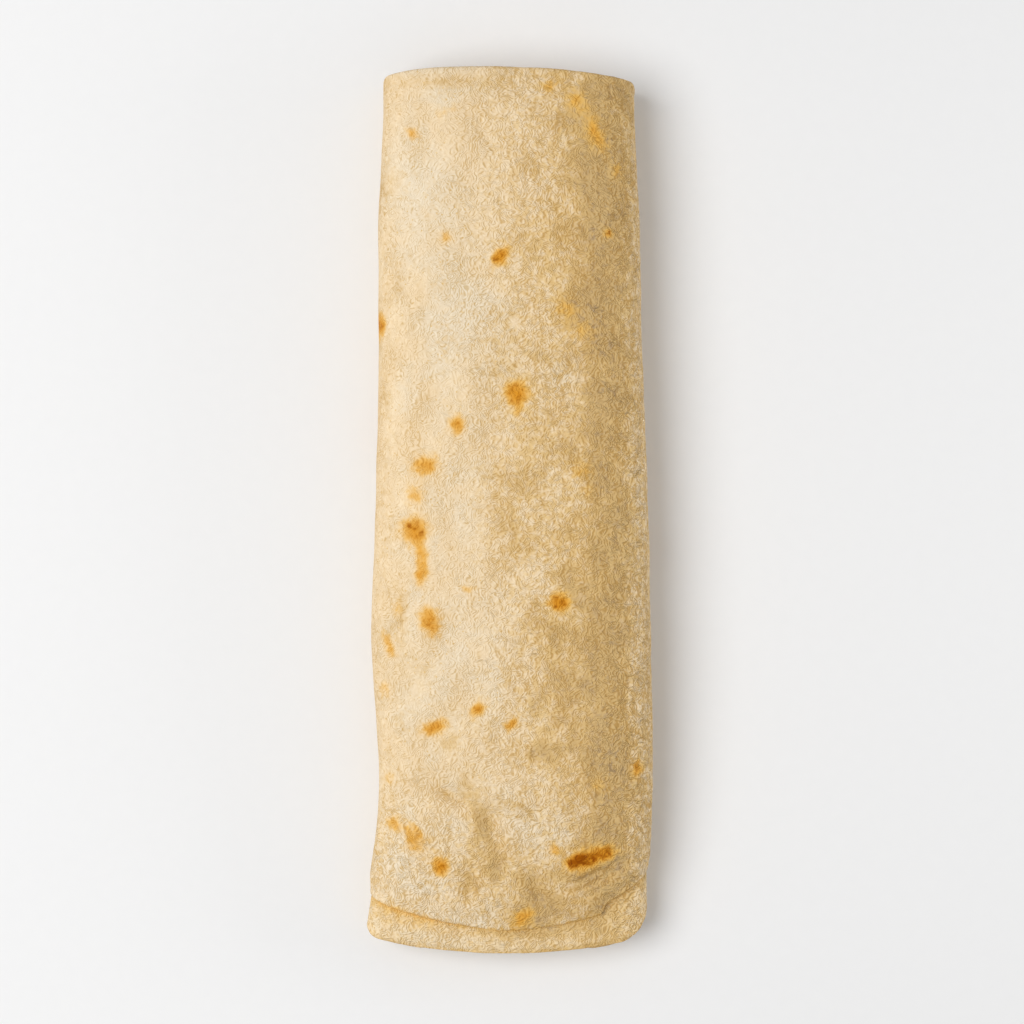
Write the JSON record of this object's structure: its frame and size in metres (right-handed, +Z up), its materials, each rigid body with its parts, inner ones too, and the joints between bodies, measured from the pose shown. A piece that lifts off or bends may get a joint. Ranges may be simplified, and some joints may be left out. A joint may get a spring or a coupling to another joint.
{
  "type": "baleada",
  "caption": "Wheat tortilla rolled round its filling into a long, soft, slightly flattened log, with toasted spots on top and the edges of its turns showing at both ends.",
  "frame": {"origin": "centre of the object's box on the ground, under the middle of the roll", "axes": "+Y along the roll, towards the end where the outer turn stands past the inner turns; +Z up from the flat it rests on; +X to the right of a viewer who looks along +Y"},
  "size_m": [0.0804, 0.247, 0.0325],
  "materials": {
    "tortilla": null
  },
  "bodies": {
    "root": {"tortilla": "tortilla"}
  },
  "joints": []
}
